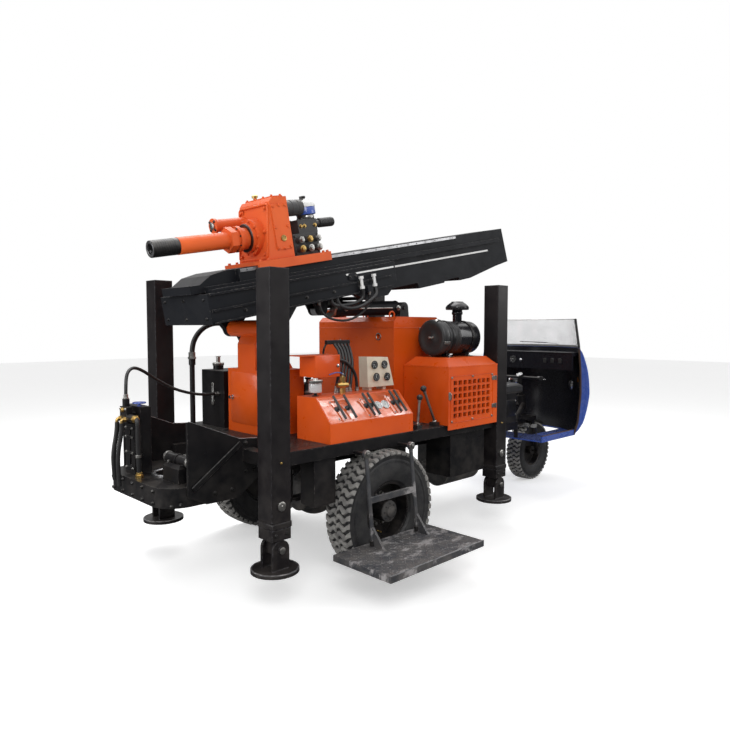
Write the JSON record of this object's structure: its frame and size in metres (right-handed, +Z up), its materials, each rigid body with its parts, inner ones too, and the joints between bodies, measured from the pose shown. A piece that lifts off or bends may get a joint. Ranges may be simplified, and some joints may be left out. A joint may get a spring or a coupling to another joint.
{
  "type": "three-wheeled water well drilling rig",
  "caption": "Three-wheeled drilling rig with a tilting mast laid over its deck, rotary head, tall extending corner legs, control console and an open driver's cab.",
  "frame": {"origin": "on the floor under the middle of the rig's overall box; the vehicle's centreline lies 0.25 m to the left of it, because the step platform hangs on the right side only", "axes": "+X forward to the driver's cab, +Y to the driver's left, +Z up"},
  "size_m": [4.98, 2.2438, 2.6886],
  "materials": {
    "black_paint": "semi-gloss",
    "orange_paint": "semi-gloss",
    "dark_grey_paint": "matt, worn",
    "blue_paint": "gloss",
    "black_plastic": "matt",
    "cream_plastic": "satin",
    "tyre": "matt",
    "bright_steel": "bright",
    "cast_grey": "oily",
    "clear_screen": "clear, milky",
    "seat_cover": "worn vinyl",
    "hose_rubber": "matte"
  },
  "bodies": {
    "chassis": {"side_rails": "black_paint", "main_rails": "black_paint", "cross_members": "black_paint", "deck_plate": "black_paint", "leg_sleeves": "black_paint", "rear_table": "black_paint", "rear_gussets": "black_paint", "rear_column": "dark_grey_paint", "break_out_clamp": "black_paint", "mast_tower": "orange_paint", "lift_bracket": "orange_paint", "deck_tank": "orange_paint", "console": "orange_paint", "levers": "black_plastic", "gauge_box": "cream_plastic", "control_box": "orange_paint", "oil_tank": "black_paint", "engine_cover": "orange_paint", "air_cleaner": "black_plastic", "engine_block": "cast_grey", "side_boxes": "black_paint", "drive_unit": "cast_grey", "rear_axle": "cast_grey", "leaf_springs": "black_paint", "front_frame": "black_paint", "cab_shell": "blue_paint", "windscreen": "clear_screen", "seat": "seat_cover", "step_platform": "dark_grey_paint", "stand_pipe": "black_paint", "fuel_filter": "clear_screen", "dash": "dark_grey_paint", "loop_hose": "hose_rubber", "air_hose": "hose_rubber", "drop_hose": "hose_rubber", "console_hose": "hose_rubber"},
    "leg_rear_right": {"leg_rear_right": "black_paint"},
    "leg_rear_left": {"leg_rear_left": "black_paint"},
    "leg_front_right": {"leg_front_right": "black_paint"},
    "leg_front_left": {"leg_front_left": "black_paint"},
    "mast_tilt": {"tilt_frame": "black_paint", "mast_hose": "hose_rubber"},
    "mast_slide": {"mast_beam": "black_paint"},
    "head": {"carriage": "orange_paint", "gearbox": "orange_paint", "head_motors": "blue_paint", "head_valve": "bright_steel"},
    "drill_spindle": {"spindle": "orange_paint", "saver_collar": "black_paint"},
    "lift_barrel": {"lift_barrel": "black_paint"},
    "lift_rod": {"lift_rod": "bright_steel"},
    "wheel_right": {"tyre_right": "tyre", "rim_right": "black_paint"},
    "wheel_left": {"tyre_left": "tyre", "rim_left": "black_paint"},
    "steering": {"fork": "black_paint"},
    "wheel_front": {"tyre_front": "tyre", "rim_front": "dark_grey_paint"}
  },
  "joints": [
    {"name": "leg_rear_right_down", "type": "slide", "parent": "chassis", "child": "leg_rear_right", "axis": [0, 0, -1], "range_m": [0, 0.9]},
    {"name": "leg_rear_left_down", "type": "slide", "parent": "chassis", "child": "leg_rear_left", "axis": [0, 0, -1], "range_m": [0, 0.9]},
    {"name": "leg_front_right_down", "type": "slide", "parent": "chassis", "child": "leg_front_right", "axis": [0, 0, -1], "range_m": [0, 0.9]},
    {"name": "leg_front_left_down", "type": "slide", "parent": "chassis", "child": "leg_front_left", "axis": [0, 0, -1], "range_m": [0, 0.9]},
    {"name": "mast_raise", "type": "hinge", "parent": "chassis", "child": "mast_tilt", "pos_m": [-1.58, 0.248, 1.7], "axis": [0, -1, 0], "range_deg": [0, 79.1]},
    {"name": "mast_slip", "type": "slide", "parent": "mast_tilt", "child": "mast_slide", "axis": [-0.982, 0, -0.1891], "range_m": [0, 0.35]},
    {"name": "head_feed", "type": "slide", "parent": "mast_slide", "child": "head", "axis": [0.982, 0, 0.1891], "range_m": [0, 2.2]},
    {"name": "spindle_turn", "type": "hinge", "parent": "head", "child": "drill_spindle", "pos_m": [-1.7946, 0.248, 2.30335], "axis": [0.982, 0, 0.1891], "continuous": true},
    {"name": "lift_barrel_swing", "type": "hinge", "parent": "chassis", "child": "lift_barrel", "pos_m": [-0.03, 0.248, 1.88], "axis": [0, 1, 0], "range_deg": [0, 17.26]},
    {"name": "lift_rod_out", "type": "slide", "parent": "lift_barrel", "child": "lift_rod", "axis": [-0.9995, 0, -0.0316], "range_m": [0, 0.6932]},
    {"name": "wheel_right_turn", "type": "hinge", "parent": "chassis", "child": "wheel_right", "pos_m": [-1.023, -0.492, 0.43], "axis": [0, 1, 0], "continuous": true},
    {"name": "wheel_left_turn", "type": "hinge", "parent": "chassis", "child": "wheel_left", "pos_m": [-1.023, 0.988, 0.43], "axis": [0, 1, 0], "continuous": true},
    {"name": "steer", "type": "hinge", "parent": "chassis", "child": "steering", "pos_m": [1.99, 0.248, 0.71], "axis": [-0.1789, 0, 0.9839], "range_deg": [-40, 40]},
    {"name": "wheel_front_turn", "type": "hinge", "parent": "steering", "child": "wheel_front", "pos_m": [2.11, 0.248, 0.325], "axis": [0, 1, 0], "continuous": true}
  ],
  "couplings": [
    {"joint": "lift_barrel_swing", "follows": "mast_raise", "ratio": 0.2181},
    {"joint": "lift_rod_out", "follows": "mast_raise", "m_per_rad": 0.50175}
  ]
}
